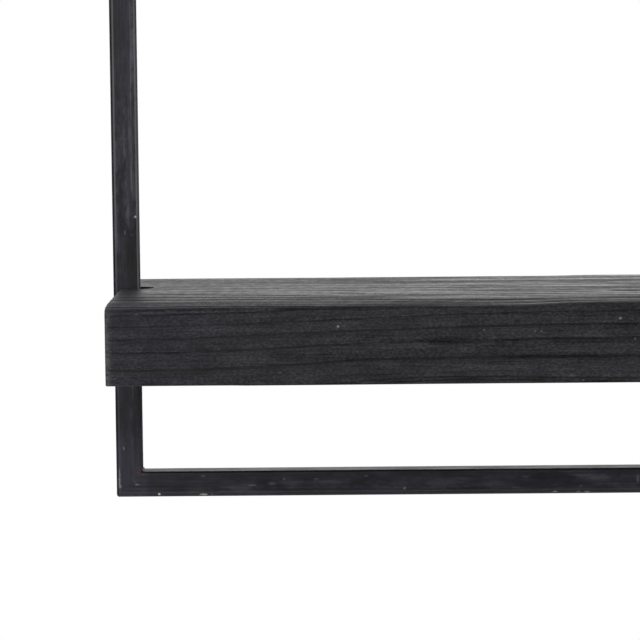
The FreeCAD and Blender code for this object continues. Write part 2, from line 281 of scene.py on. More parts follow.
# The gloss of the wood: its middle, the share of the fine streaks in it, how far bands along the grain
# swing it, and where along a plank, in millimetres, the bands grow from weak to strong.
WOOD_ROUGHNESS = 0.37
FIBRE_ROUGHNESS = 0.12
BAND_SWING = (0.08, 0.25)
BAND_GROWTH = (-365.0, -130.0)

# The wood's fine relief: the share of the grit in it, and its depth in millimetres; its reflection and
# sheen.
GRIT_HEIGHT = 0.5
WOOD_BUMP = 0.10
WOOD_SPECULAR = 0.3
WOOD_SHEEN = 0.03

# How each kind of black steel is finished: the way it runs, its tone away from the frame's corners, the
# contrast of its clouds, how rubbed its outer and inner corners are, with a painted highlight along them,
# the share of that rub and painted highlight left at the foot, where the lower plank's painted shade dims
# it, how much duller the side that faces into the frame is, how much blacker the face is beside it, the
# swing of its gloss, from where to where past a mitre the paler tone of the welds fades out, and how much
# painted shade darkens it beside the planks.
STEEL_LOOKS = {
    "upright_steel": {
        "Run": (0.0, 0.0, 1.0), "Tone": 0.97, "Contrast": 1.0, "Outer Rub And Highlight": 0.9, "Inner Rub And Highlight": 1.0,
        "Foot Rub And Highlight": 0.35, "Inner Dullness": 0.40, "Inner Shade": 0.5, "Gloss Swing": 0.09,
        "Weld Start": 10.0 * MM, "Weld End": 50.0 * MM, "Painted Shelf Shade": 0.22,
    },
    "rail_steel": {
        "Run": (1.0, 0.0, 0.0), "Tone": 0.80, "Contrast": 0.45, "Outer Rub And Highlight": 0.25, "Inner Rub And Highlight": 0.0,
        "Foot Rub And Highlight": 1.0, "Inner Dullness": 0.0, "Inner Shade": 0.0, "Gloss Swing": 0.0,
        "Weld Start": 0.0, "Weld End": 6.0 * MM, "Painted Shelf Shade": 0.0,
    },
    "tab_steel": {
        "Run": (1.0, 0.0, 0.0), "Tone": 1.0, "Contrast": 1.0, "Outer Rub And Highlight": 0.5, "Inner Rub And Highlight": 0.5,
        "Foot Rub And Highlight": 1.0, "Inner Dullness": 0.0, "Inner Shade": 0.0, "Gloss Swing": 0.0,
        "Weld Start": 3.0 * MM, "Weld End": 13.0 * MM, "Painted Shelf Shade": 0.0,
    },
}

# The black coat's noises: cells per metre along the tube and across it, detail and roughness.
COAT_NOISES = {
    "smears": (7.0, 260.0, 3.0, 0.6),
    "lines": (14.0, 850.0, 3.0, 0.65),
    "grain": (1500.0, 1500.0, 2.0, 0.5),
    "rust": (800.0, 800.0, 3.0, 0.7),
}

# What those noises, the clouds and the placed marks do: from where to where, and the levels there.
COAT_SPANS = {
    "smear_streaks": ("smears", 0.45, 0.70),
    "smear_clouds": ("clouds", 0.42, 0.62),
    "rub_highlight_streaks": ("smears", 0.36, 0.62, 0.45, 0.9),
    "cloud_tone": ("clouds", 0.3, 0.7, -0.68, 0.68),
    "grain_tone": ("grain", 0.3, 0.7, 0.85, 1.15),
    "line_tone": ("lines", 0.3, 0.7, 0.62, 1.38),
    "rust_spots": ("rust", 0.44, 0.58),
    "mark_lines": ("lines", 0.42, 0.58, 0.25, 1.25),
    "mark_core": ("marks", 0.2, 0.5),
    "cloud_gloss": ("clouds", 0.3, 0.7, 0.34, 0.48),
}

# The coat's clouds, in cells per metre and how drawn out along the tube; its specks; the share of its
# grain in the fine relief, and the depth of that in millimetres.
COAT_CELLS = 120.0
CLOUD_STRETCH = 0.35
COAT_SPECKS = {"Cells": 70.0, "Radius": 0.05, "Share": 0.03, "Strength": 0.35}
GRAIN_HEIGHT = 0.3
COAT_BUMP = 0.05

# Distances from an inside corner of the frame, in millimetres, over which the coat grows lively from this
# contrast, and over which the rust begins; the tone of the mitres.
CALM_REACH = (8.0, 30.0)
CALM_CONTRAST = 0.15
RUST_REACH = (6.0, 0.5)
CORNER_TONE = 1.7

# How rubbed a tube is, with a painted highlight along its rounded corners, from the middle of a face (0)
# to its corner (1), and how much nearer to the corner the rubbed, painted highlight line lies on the sides
# that face into the frame.
EDGE_RUB_AND_HIGHLIGHT = ((0.0, 0.0), (0.66, 0.0), (0.71, 0.95), (0.76, 0.95), (0.82, 0.12), (1.0, 0.0))
INNER_RUB_HIGHLIGHT_SHIFT = 0.20

# In millimetres: how high above the lower plank the rub and painted highlight on an outer corner grow out
# of the plank's painted shade, how far from a plank's middle a tube is darkened by painted shade, and
# between which heights an upright's face grows blacker on its inner half.
RUB_HIGHLIGHT_FADE = 100.0
SHELF_SHADE_REACH = 75.0
SHADE_HEIGHTS = (-130.0, -146.0)

# Across a tube's section, from -1 inwards to 1 outwards: where the black inner half and the inner side
# set in.
INNER_HALF = (0.05, -0.35)
INNER_SIDE = (-0.90, -0.97)

# The wave of the lacquer's gloss along a tube: radians per metre, and radians at the middle.
GLOSS_WAVE = 22.0
GLOSS_START = 0.75

# The welds: cells per metre of their clouds and ripples, where in the clouds rust and roughness lie, the
# share of the clouds in the relief, and its depth in millimetres.
WELD_CELLS = 380.0
WELD_RIPPLES = (300.0, 900.0, 300.0)
WELD_RUST = (0.50, 0.62)
WELD_ROUGHNESS = (0.3, 0.7, 0.38, 0.70)
WELD_CLOUD_HEIGHT = 0.6
WELD_BUMP = 0.25

# The black screws: cells per metre of their clouds and scratches, tone and roughness over the clouds, the
# depth of the relief in millimetres, and how much of a metal's reflection they have.
SCREW_CELLS = 450.0
SCREW_SCRATCHES = 900.0
SCREW_TONE = (0.3, 0.7, 0.7, 1.4)
SCREW_ROUGHNESS = (0.3, 0.7, 0.32, 0.55)
SCREW_BUMP = 0.04
SCREW_METALLIC = 0.6

# The zinc: cells per metre of its clouds and scratches, where in the clouds it is dull, its roughness
# over them, how deep scratches are against the clouds, the depth of it all in millimetres, and how dense
# the painted shade about the screws is.
ZINC_CELLS = 160.0
ZINC_SCRATCHES = 420.0
ZINC_DULLING = (0.38, 0.62)
ZINC_ROUGHNESS = (0.3, 0.7, 0.28, 0.46)
SCRATCH_HEIGHT = -0.6
ZINC_BUMP = 0.03
SEAM_SHADE_DENSITY = 0.85

# The hanger screws, in millimetres: their distance on a plate, the radius of the head and of its recess,
# how wide the painted shade in the seam about the head is, and how far below the plate the recess, also
# painted shade, counts.
HANGER_SCREW_SPACING = 36.0
HEAD_RADIUS = 3.0
RECESS_RADIUS = 1.7
SEAM_HALF_WIDTH = 0.4
RECESS_DEPTH = 0.05

# Camera, from the unit's own places: beside the left upright's outer side, in front of the tubes' front,
# above the frame's foot. Angles in radians, the sensor's width in millimetres.
EYE_RIGHT = 137.9 * MM
EYE_FRONT = 1616.66 * MM
EYE_ABOVE = 264.16 * MM
EYE_PITCH = 0.0948763
EYE_YAW = -0.00560644
EYE_ROLL = -0.00891091
SENSOR = 36.0

# Lamps: place, point aimed at, width and height, all in metres, and power in watts.
LAMPS = {
    "left_softbox": ((-1.15, -2.3, 0.35), (-0.2, -0.1, -0.1), (0.45, 1.7), 11.8),
    "right_softbox": ((1.5, -2.0, 0.6), (0.0, -0.1, 0.0), (1.8, 1.8), 16.2),
    "right_strip": ((2.3, -0.35, 0.3), (-0.2, -0.1, -0.1), (1.6, 1.8), 8.0),
}

# The sweep that reflections show: its dim and its bright level, and over which part of a direction's y
# and z it brightens.
SWEEP_DIM = 0.08
SWEEP_BRIGHT = 0.91
SWEEP_BEHIND = (0.05, 0.75)
SWEEP_ABOVE = (-0.10, 0.05)

# The floor: corners of its circle, cells per metre of its clouds, tone and roughness over them.
FLOOR_STEPS = 96
FLOOR_CELLS = (6.0, 6.0, 6.0)
FLOOR_TONE = (0.3, 0.7, 0.97, 1.0)
FLOOR_ROUGHNESS = (0.3, 0.7, 0.7, 0.8)

# What every colour among the settings shares.
COLOUR = {"min": 0.0, "max": 1.0, "subtype": "COLOR"}


class PlankSettings(bpy.types.PropertyGroup):
    """Sizes and stain of the two planks."""

    front_round: bpy.props.FloatProperty(
        name="Front Round", description="Radius of the front top edge",
        default=3.0 * MM, min=0.5 * MM, unit="LENGTH",
    )
    easing: bpy.props.FloatProperty(
        name="Easing", description="Radius of every other edge",
        default=0.8 * MM, min=0.1 * MM, unit="LENGTH",
    )
    ring_width: bpy.props.FloatProperty(
        name="Ring Width", description="Width of one growth ring",
        default=4.05 * MM, min=1.0 * MM, unit="LENGTH",
    )
    brush_depth: bpy.props.FloatProperty(
        name="Brush Depth", description="How deep the soft part of a ring is brushed out",
        default=0.20 * MM, unit="LENGTH",
    )
    groove_depth: bpy.props.FloatProperty(
        name="Groove Depth", description="Depth of the fine groove beside the hard part of a ring",
        default=0.16 * MM, unit="LENGTH",
    )
    fibre_depth: bpy.props.FloatProperty(
        name="Fibre Depth", description="Depth of the fine streaks along the grain",
        default=0.16 * MM, unit="LENGTH",
    )
    edge_wear: bpy.props.FloatProperty(
        name="Edge Wear", description="How far knocks press in the long edges",
        default=0.30 * MM, unit="LENGTH",
    )
    front_wear: bpy.props.FloatProperty(
        name="Front Wear", description="How far the front top edge is worn down",
        default=3.1 * MM, unit="LENGTH",
    )
    hollows: bpy.props.FloatProperty(
        name="Hollows", description="Depth of the broad hollows along the grain",
        default=0.55 * MM, unit="LENGTH",
    )
    wane: bpy.props.FloatProperty(
        name="Wane", description="How low the back top edge lies where the log ran out",
        default=0.35 * MM, unit="LENGTH",
    )
    stain: bpy.props.FloatVectorProperty(
        name="Stain", description="Colour of the stained wood",
        default=(0.0280, 0.0279, 0.0322), **COLOUR,
    )
    blue_stain: bpy.props.FloatVectorProperty(
        name="Blue Stain", description="Colour where the stain dried bluer",
        default=(0.0264, 0.0255, 0.0346), **COLOUR,
    )
    line_stain: bpy.props.FloatVectorProperty(
        name="Line Stain", description="Colour of the dark line of each ring",
        default=(0.0070, 0.0070, 0.0074), **COLOUR,
    )
    nick_colour: bpy.props.FloatVectorProperty(
        name="Nick Colour", description="Colour of bare wood in a nick",
        default=(0.30, 0.29, 0.27), **COLOUR,
    )


class SteelSettings(bpy.types.PropertyGroup):
    """Finish of the frame, its tabs and its welds."""

    scale_colour: bpy.props.FloatVectorProperty(
        name="Mill Scale", description="Colour of the blue-black mill scale",
        default=(0.0136, 0.0133, 0.0226), **COLOUR,
    )
    smear_colour: bpy.props.FloatVectorProperty(
        name="Smear", description="Colour of the greyer smears in the lacquer",
        default=(0.0545, 0.0538, 0.0705), **COLOUR,
    )
    # Colour of the rubbed edges, which also paints a highlight along the tubes' rounded corners.
    rub_highlight_colour: bpy.props.FloatVectorProperty(
        name="Rubbed And Highlit Edge", description="Colour of rubbed edges",
        default=(0.150, 0.149, 0.153), **COLOUR,
    )
    rust_colour: bpy.props.FloatVectorProperty(
        name="Rust", description="Colour of the rust beside the welds",
        default=(0.080, 0.036, 0.028), **COLOUR,
    )
    chip_colour: bpy.props.FloatVectorProperty(
        name="Chips", description="Colour of bare steel in chips and scuffs",
        default=(0.52, 0.51, 0.50), **COLOUR,
    )
    weld_colour: bpy.props.FloatVectorProperty(
        name="Weld", description="Colour of the weld beads",
        default=(0.024, 0.020, 0.019), **COLOUR,
    )


class HardwareSettings(bpy.types.PropertyGroup):
    """Finish of the screws and the hanger plates."""

    oxide_colour: bpy.props.FloatVectorProperty(
        name="Black Oxide", description="Colour of the tab screws",
        default=(0.030, 0.030, 0.032), **COLOUR,
    )
    zinc_colour: bpy.props.FloatVectorProperty(
        name="Zinc", description="Colour of the zinc plating",
        default=(0.50, 0.51, 0.52), **COLOUR,
    )
    dull_zinc_colour: bpy.props.FloatVectorProperty(
        name="Dull Zinc", description="Colour of handled, dulled plating",
        default=(0.33, 0.335, 0.35), **COLOUR,
    )
    scratch_colour: bpy.props.FloatVectorProperty(
        name="Scratches", description="Colour of scratches in the zinc",
        default=(0.72, 0.72, 0.71), **COLOUR,
    )
    # Colour of the painted shade in the seam about each hanger screw's head and in its recess.
    seam_shade_colour: bpy.props.FloatVectorProperty(
        name="Seam Shade", description="Colour of the dirt about the hanger screws",
        default=(0.02, 0.019, 0.018), **COLOUR,
    )


class StageSettings(bpy.types.PropertyGroup):
    """Floor, light and camera."""

    floor_drop: bpy.props.FloatProperty(
        name="Floor Drop", description="Depth of the floor below the unit",
        default=0.46, unit="LENGTH",
    )
    floor_radius: bpy.props.FloatProperty(
        name="Floor Radius", description="Radius of the round floor",
        default=1.15, unit="LENGTH",
    )
    floor_colour: bpy.props.FloatVectorProperty(
        name="Floor Colour", description="Colour of the floor",
        default=(0.90, 0.90, 0.89), **COLOUR,
    )
    ambient: bpy.props.FloatProperty(
        name="Ambient", description="Level of the even light from all round",
        default=0.42, min=0.0,
    )
    lens: bpy.props.FloatProperty(
        name="Lens", description="Focal length of the camera on a 36 mm sensor",
        default=146.25, subtype="DISTANCE_CAMERA",
    )


# Helpers for node trees.


class Field:
    """One output of a node: a number, place, colour or shader.

    Arithmetic on number fields and plain numbers adds Math nodes to the field's tree.
    """

    def __init__(self, tree, socket):
        self.tree = tree
        self.socket = socket

    def math(self, operation, *others):
        """A Math node whose first input is this field."""
        return field(self.tree, "ShaderNodeMath", dict(enumerate((self, *others))), operation=operation)

    def __add__(self, other):
        return self.math("ADD", other)

    def __sub__(self, other):
        return self.math("SUBTRACT", other)

    def __rsub__(self, other):
        return field(self.tree, "ShaderNodeMath", {0: other, 1: self}, operation="SUBTRACT")

    def __mul__(self, other):
        return self.math("MULTIPLY", other)

    def __truediv__(self, other):
        return self.math("DIVIDE", other)

    def __lt__(self, other):
        return self.math("LESS_THAN", other)

    def __gt__(self, other):
        return self.math("GREATER_THAN", other)

    def __abs__(self):
        return self.math("ABSOLUTE")


def put(tree, kind, inputs=None, **settings):
    """Adds a node, sets its properties and fills its inputs with values or fields."""
    made = tree.nodes.new(kind)
    for name, value in settings.items():
        setattr(made, name, value)
    for key, value in (inputs or {}).items():
        if isinstance(value, Field):
            tree.links.new(value.socket, made.inputs[key])
        else:
            made.inputs[key].default_value = value
    return made


def field(tree, kind, inputs=None, output=0, **settings):
    """Adds a node and returns one of its outputs."""
    return Field(tree, put(tree, kind, inputs, **settings).outputs[output])


def axes(place):
    """The x, y and z of a place."""
    return [field(place.tree, "ShaderNodeSeparateXYZ", {0: place}, axis) for axis in range(3)]


def vectors(operation, first, *others, output=0):
    """A Vector Math node."""
    inputs = dict(enumerate((first, *others)))
    return field(first.tree, "ShaderNodeVectorMath", inputs, output, operation=operation)


def diagonal(first, second):
    """The root of the sum of two squares."""
    return (first * first + second * second).math("SQRT")


def noise(place, stretch, detail=2.0, roughness=0.5):
    """Noise at a place that is first multiplied by the stretch, in cells per metre."""
    scaled = vectors("MULTIPLY", place, stretch)
    inputs = {"Vector": scaled, "Scale": 1.0, "Detail": detail, "Roughness": roughness}
    return field(place.tree, "ShaderNodeTexNoise", inputs)


def span(value, low, high, out_low=0.0, out_high=1.0):
    """Maps low to high on a smooth step from out_low to out_high."""
    inputs = {"Value": value, "From Min": low, "From Max": high, "To Min": out_low, "To Max": out_high}
    return field(value.tree, "ShaderNodeMapRange", inputs, interpolation_type="SMOOTHSTEP")


def reach(distance, ends, *levels):
    """A span over a distance, with its ends in millimetres."""
    return span(distance, ends[0] * MM, ends[1] * MM, *levels)


def spans(sources, table):
    """A span for each row of a table: its name, its source, and the source's ends and levels."""
    return {name: span(sources[source], *ends) for name, (source, *ends) in table.items()}


def rgba(colour):
    """A colour as a field, or as four numbers."""
    return colour if isinstance(colour, Field) else (*colour, 1.0)


def blend(share, first, second):
    """Mixes two colours by a field, the share of the second."""
    inputs = {0: share, 6: rgba(first), 7: rgba(second)}
    return field(share.tree, "ShaderNodeMix", inputs, 2, data_type="RGBA")


def shaded(colour, tone):
    """A colour times a field, its tone."""
    inputs = {0: 1.0, 6: rgba(colour), 7: tone}
    return field(tone.tree, "ShaderNodeMix", inputs, 2, data_type="RGBA", blend_type="MULTIPLY")


def ramp(value, stops):
    """A grey ramp through (place, level) stops."""
    made = put(value.tree, "ShaderNodeValToRGB", {0: value})
    elements = made.color_ramp.elements
    while len(elements) < len(stops):
        elements.new(1.0)
    for element, (place, level) in zip(elements, stops):
        element.position = place
        element.color = (level, level, level, 1.0)
    return Field(value.tree, made.outputs[0])


def new_material(name):
    """An empty node material, and in it the Object coordinates, in metres."""
    made = bpy.data.materials.new(name)
    made.use_nodes = True
    made.node_tree.nodes.clear()
    return made, field(made.node_tree, "ShaderNodeTexCoord", output="Object")


def finish_material(colour, roughness, height, bump, metallic=0.0, specular=0.5, sheen=0.0):
    """Ends a material: a Principled shader with a bump, as deep as the height times so many millimetres."""
    tree = colour.tree
    bumped = field(tree, "ShaderNodeBump", {"Strength": 1.0, "Distance": bump * MM, "Height": height})
    inputs = {
        "Base Color": colour, "Roughness": roughness, "Normal": bumped, "Metallic": metallic,
        "Specular IOR Level": specular, "Sheen Weight": sheen,
    }
    shader = field(tree, "ShaderNodeBsdfPrincipled", inputs)
    put(tree, "ShaderNodeOutputMaterial", {"Surface": shader})


# Node groups. Each function gets the group's inputs by name and returns its outputs in order.


def make_group(name):
    """Builds a shader node group from its row among the groups."""
    work, inputs, outputs = GROUPS[name]
    tree = bpy.data.node_groups.new(name, "ShaderNodeTree")
    for direction, sockets in (("INPUT", inputs), ("OUTPUT", outputs)):
        for title, kind in sockets.items():
            tree.interface.new_socket(title, in_out=direction, socket_type="NodeSocket" + kind)
    start = tree.nodes.new("NodeGroupInput")
    end = tree.nodes.new("NodeGroupOutput")
    results = work({title: Field(tree, start.outputs[title]) for title in inputs})
    for socket, result in zip(end.inputs, results):
        tree.links.new(result.socket, socket)
    return tree


def use_group(name, place, values):
    """Places a node group, built at its first use, and returns its outputs."""
    group = bpy.data.node_groups.get(name) or make_group(name)
    made = put(place.tree, "ShaderNodeGroup", {"Place": place, **values}, node_tree=group)
    return [Field(place.tree, socket) for socket in made.outputs]


def specks(given):
    """Small round specks: Voronoi cells nearer than the radius to their point, in a share of the cells."""
    tree = given["Place"].tree
    inputs = {"Vector": given["Place"], "Scale": given["Cells"]}
    distance = field(tree, "ShaderNodeTexVoronoi", inputs, "Distance")
    near = span(distance, given["Radius"], given["Radius"] * SPECK_CORE)
    cell_colour = field(tree, "ShaderNodeTexVoronoi", inputs, "Color")
    pick = field(tree, "ShaderNodeSeparateColor", {0: cell_colour})
    return [near * (pick < given["Share"]) * given["Strength"]]


def plain_noise(place, cells, detail, output=0):
    """Noise with so many cells per metre, which may be a field."""
    inputs = {"Vector": place, "Scale": cells, "Detail": detail}
    return field(place.tree, "ShaderNodeTexNoise", inputs, output)


def clouds(given):
    """Cloudy variation: two noises of different size, the finer one weaker."""
    coarse = plain_noise(given["Place"], given["Cells"], CLOUD_DETAIL)
    fine = plain_noise(given["Place"], given["Cells"] * FINE_CLOUD_CELLS, CLOUD_DETAIL)
    return [coarse * (1 - FINE_CLOUD_SHARE) + fine * FINE_CLOUD_SHARE]


def mark(given):
    """One mark: full within a stretched ball about its centre, gone past its edge."""
    away = vectors("SUBTRACT", given["Place"], given["Centre"])
    share = vectors("LENGTH", vectors("DIVIDE", away, given["Half Size"]), output="Value")
    return [span(share, *MARK_EDGE) * given["Strength"]]


def scratches(given):
    """Hairline scratches: the thin mid level of a noise, broken by a coarser noise."""
    lines = plain_noise(given["Place"], given["Fineness"], SCRATCH_DETAIL)
    thin = span(abs(lines - NOISE_MIDDLE), *SCRATCH_EDGE)
    breaks = plain_noise(given["Place"], given["Fineness"] * BREAK_CELLS, RAG_DETAIL)
    return [thin * span(breaks, *SCRATCH_BREAKS)]


def along_run(run, lengthwise, crosswise):
    """A stretch with one value along the run of a tube and another across it."""
    return vectors("MULTIPLY_ADD", run, (lengthwise - crosswise,) * 3, (crosswise,) * 3)


def section_place(place, run):
    """Place across a tube's section, -1 to 1: outwards from the frame's middle, and from front to back."""
    x, y, z = axes(place)
    run_x, _, run_z = axes(run)
    past_upright = abs(x) - UPRIGHT_X
    past_rail = abs(z - FRAME_MID_Z) - RAIL_RISE
    outward = past_upright * run_z + past_rail * run_x
    return outward / TUBE_HALF, (y - FRAME_Y) / TUBE_HALF


def corner_offsets(place):
    """How far a point lies past the frame's inner sides: sideways past an upright's, and past a rail's."""
    x, _, z = axes(place)
    return abs(x) - (UPRIGHT_X - TUBE_HALF), abs(z - FRAME_MID_Z) - (RAIL_RISE - TUBE_HALF)


def rubbed_and_highlit_edges(given, outward, deep):
    """A line along each corner of a tube, where handling has rubbed it, with a painted highlight on its
    rounded corners.

    On outer corners it fades towards the foot, where the lower plank's painted shade dims it, and on inner
    corners it lies above the lower plank alone.
    """
    rise = axes(given["Place"])[2]
    outer_rub_highlight = given["Outer Rub And Highlight"]
    above = span(rise, SHELF_LOW.z, SHELF_HIGH.z) * given["Inner Rub And Highlight"]
    foot_rub_highlight = given["Foot Rub And Highlight"] * outer_rub_highlight
    # Towards the lower plank and below it the outer rub and its painted highlight fade: painted shade from
    # the plank.
    fading = span(rise, SHELF_LOW.z, SHELF_HIGH.z + RUB_HIGHLIGHT_FADE * MM, foot_rub_highlight, outer_rub_highlight)
    inner = outward < 0.0
    across = abs(outward) - inner * INNER_RUB_HIGHLIGHT_SHIFT
    corner = across.math("MINIMUM", abs(deep))
    return ramp(corner, EDGE_RUB_AND_HIGHLIGHT) * (inner * (above - fading) + fading)


def coat_tone(given, levels, outward, liveliness, from_weld):
    """Brightness of the coat: cloudy, grained and lined, paler at the mitres.

    It is darkened by painted shade beside the planks, and is blacker low down on the inner half of an
    upright's face.
    """
    rise = axes(given["Place"])[2]
    level = from_weld * (given["Tone"] - CORNER_TONE) + CORNER_TONE
    cloudy = levels["cloud_tone"] * liveliness + 1.0
    inner_half = span(outward, *INNER_HALF) * given["Inner Shade"]
    low_inside = reach(rise, SHADE_HEIGHTS) * inner_half * from_weld
    # Painted shade on the tube beside each plank.
    from_shelf = abs(abs(rise - FRAME_MID_Z) - SHELF_RISE)
    painted_shelf_shade = span(from_shelf, SHELF_SHADE_REACH * MM, PLANK_HALF_THICK) * given["Painted Shelf Shade"]
    even = cloudy * level * levels["grain_tone"] * levels["line_tone"]
    return even * (1.0 - low_inside) * (1.0 - painted_shelf_shade)


def coat_gloss(given, levels, outward):
    """Roughness of the coat: clouds, a slow wave along the tube, and a duller side into the frame."""
    along = vectors("DOT_PRODUCT", given["Place"], given["Run"], output="Value")
    wave = (along * GLOSS_WAVE + GLOSS_START).math("SINE")
    inner_side = span(outward, *INNER_SIDE) * given["Inner Dullness"]
    return wave * given["Gloss Swing"] + levels["cloud_gloss"] + inner_side


def black_coat(given):
    """Blue-black mill scale under lacquer, with clouds, smears, drawn lines, rubbed edges with a painted
    highlight, painted shade beside the planks, rust and chips.
    """
    place = given["Place"]
    run = given["Run"]
    stretched = vectors("MULTIPLY", place, along_run(run, CLOUD_STRETCH, 1.0))
    sources = {"clouds": use_group("clouds", stretched, {"Cells": COAT_CELLS})[0], "marks": given["Marks"]}
    for name, (lengthwise, crosswise, *grade) in COAT_NOISES.items():
        sources[name] = noise(place, along_run(run, lengthwise, crosswise), *grade)
    levels = spans(sources, COAT_SPANS)
    outward, deep = section_place(place, run)
    offsets = corner_offsets(place)
    from_corner = diagonal(*offsets)
    from_mitre = diagonal(*[offset.math("MINIMUM", 0.0) for offset in offsets])
    from_weld = span(from_mitre, given["Weld Start"], given["Weld End"])
    liveliness = reach(from_corner, CALM_REACH, CALM_CONTRAST, given["Contrast"])
    smear = levels["smear_streaks"] * levels["smear_clouds"] * liveliness
    tone = coat_tone(given, levels, outward, liveliness, from_weld)
    coat = shaded(blend(smear, given["Mill Scale"], given["Smear"]), tone)
    # The rubbed edges: partly real wear, partly a painted highlight along the rounded corners.
    worn = blend(rubbed_and_highlit_edges(given, outward, deep) * levels["rub_highlight_streaks"], coat, given["Rubbed And Highlit Edge"])
    rusty = blend(reach(from_corner, RUST_REACH) * levels["rust_spots"], worn, given["Rust"])
    marks = given["Marks"] * levels["mark_lines"].math("MAXIMUM", levels["mark_core"])
    bare = use_group("specks", place, COAT_SPECKS)[0].math("MAXIMUM", marks)
    colour = blend(bare, rusty, given["Chips"])
    height = sources["grain"] * GRAIN_HEIGHT + sources["clouds"]
    return colour, coat_gloss(given, levels, outward), height


COAT_VALUES = [title for title in STEEL_LOOKS["tab_steel"] if title != "Run"]
COAT_COLOURS = ("Mill Scale", "Smear", "Rubbed And Highlit Edge", "Rust", "Chips")

# The node groups: what works each out, its inputs and its outputs.
GROUPS = {
    "specks": (
        specks,
        {"Place": "Vector", "Cells": "Float", "Radius": "Float", "Share": "Float", "Strength": "Float"},
        {"Mask": "Float"},
    ),
    "clouds": (clouds, {"Place": "Vector", "Cells": "Float"}, {"Value": "Float"}),
    "mark": (
        mark,
        {"Place": "Vector", "Centre": "Vector", "Half Size": "Vector", "Strength": "Float"},
        {"Mask": "Float"},
    ),
    "scratches": (scratches, {"Place": "Vector", "Fineness": "Float"}, {"Mask": "Float"}),
    "black_coat": (
        black_coat,
        {
            "Place": "Vector", "Run": "Vector", "Marks": "Float", **dict.fromkeys(COAT_VALUES, "Float"),
            **dict.fromkeys(COAT_COLOURS, "Color"),
        },
        {"Color": "Color", "Roughness": "Float", "Height": "Float"},
    ),
}


def marks_mask(place, marks, half_depth, front, level=0.0):
    """The strongest of some marks at each point, with ragged edges.

    The marks lie in the plane of the front, and their heights are measured from the level.
    """
    uneven = vectors("SUBTRACT", plain_noise(place, RAG_CELLS, RAG_DETAIL, "Color"), (NOISE_MIDDLE,) * 3)
    ragged = vectors("ADD", place, vectors("MULTIPLY", uneven, (RAGGEDNESS * MM,) * 3))
    strongest = 0.0
    for x, z, half_x, half_z, strength in marks:
        values = {
            "Centre": (x * MM, front, z * MM + level), "Strength": strength,
            "Half Size": (half_x * MM, half_depth * MM, half_z * MM),
        }
        strongest = use_group("mark", ragged, values)[0].math("MAXIMUM", strongest)
    return strongest


# The planks' shape.


def rounded_section(half, radii):
    """The plank's section as inner points, the angle of the outward normal and the radius at each.

    The inner points run from the middle of one corner's round to the next, side by side. At each corner
    they stay and the normal turns a quarter circle. A surface point is its inner point plus the radius
    along its normal. Along a side the radius changes evenly, so the side stays straight.
    """
    signs = np.array([(-1, -1), (-1, 1), (1, 1), (1, -1)])
    centres = np.concatenate([signs * (half - radii[:, None]), radii[:, None]], axis=1)
    inner = []
    angles = []
    for side, steps in enumerate(SIDE_STEPS):
        share = np.linspace(0, 1, steps + 1)[:, None] ** SIDE_GRADING[side]
        ahead = centres[(side + 1) % 4]
        side_angle = math.pi - side * math.pi / 2
        turn = np.linspace(0, math.pi / 2, CORNER_STEPS + 1)[1:-1]
        inner.append(centres[side] * (1 - share) + ahead * share)
        inner.append(np.repeat(ahead[None, :], len(turn), axis=0))
        angles.append(np.full(steps + 1, side_angle))
        angles.append(side_angle - turn)
    inner = np.concatenate(inner)
    return inner[:, :2], np.concatenate(angles), inner[:, 2]


def plank_stations(half_x, easing):
    """Stations along the plank: x, how far the section shrinks, and how far an end face has drawn in.

    From the middle of the left end face outwards to its edge, round the end edge on a quarter circle,
    along the plank at even steps, and the same again at the right end.
    """
    draw_in = np.linspace(1, 0, END_FACE_STEPS + 1)[:-1]
    turn = np.linspace(math.pi / 2, 0, END_ROUND_STEPS + 1)[:-1]
    straight = half_x - easing
    body = np.linspace(-straight, straight, LENGTH_STEPS + 1)
    left_x = np.concatenate([np.full(len(draw_in), -half_x), -straight - easing * np.sin(turn)])
    left_shrink = np.concatenate([np.full(len(draw_in), easing), easing * (1 - np.cos(turn))])
    left_draw = np.concatenate([draw_in, np.zeros(len(turn))])
    x = np.concatenate([left_x, body, -left_x[::-1]])
    shrink = np.concatenate([left_shrink, np.zeros(len(body)), left_shrink[::-1]])
    draw = np.concatenate([left_draw, np.zeros(len(body)), left_draw[::-1]])
    return x, shrink, draw


def ring_count(points, log, ring_width):
    """Growth rings from the pith at points measured from the plank's middle, in millimetres.

    The distance from the pith's line plus a few long waves, in ring widths. The line's height is the
    sum of its steps, each half its rise times the tanh of the distance from its middle.
    """
    x, y, z = points[..., 0], points[..., 1], points[..., 2]
    height = sum(rise * np.tanh((x - middle) / half) for middle, half, rise in log["steps"])
    distance = np.hypot(y - log["pith_y"], z - log["pith_z"] - height)
    waves = sum(size * np.sin(fx * x + fy * y + fz * z + log["seed"]) for fx, fy, fz, size in RING_WAVES)
    return (distance + waves) / ring_width - log["ring_start"]


def streaks(random, shape, layers):
    """The sum of layers of random numbers on a grid, each times its share.

    Each layer is blurred by a bell curve along both directions of the grid and scaled to at most 1.
    """
    total = 0.0
    for share, along, across in layers:
        waves_along = np.fft.fftfreq(shape[0])[:, None] * along
        waves_across = np.fft.fftfreq(shape[1])[None, :] * across
        bell = np.exp(-2 * math.pi ** 2 * (waves_along ** 2 + waves_across ** 2))
        soft = np.fft.ifft2(np.fft.fft2(random.standard_normal(shape)) * bell).real
        total = total + share * (soft / np.abs(soft).max())
    return total


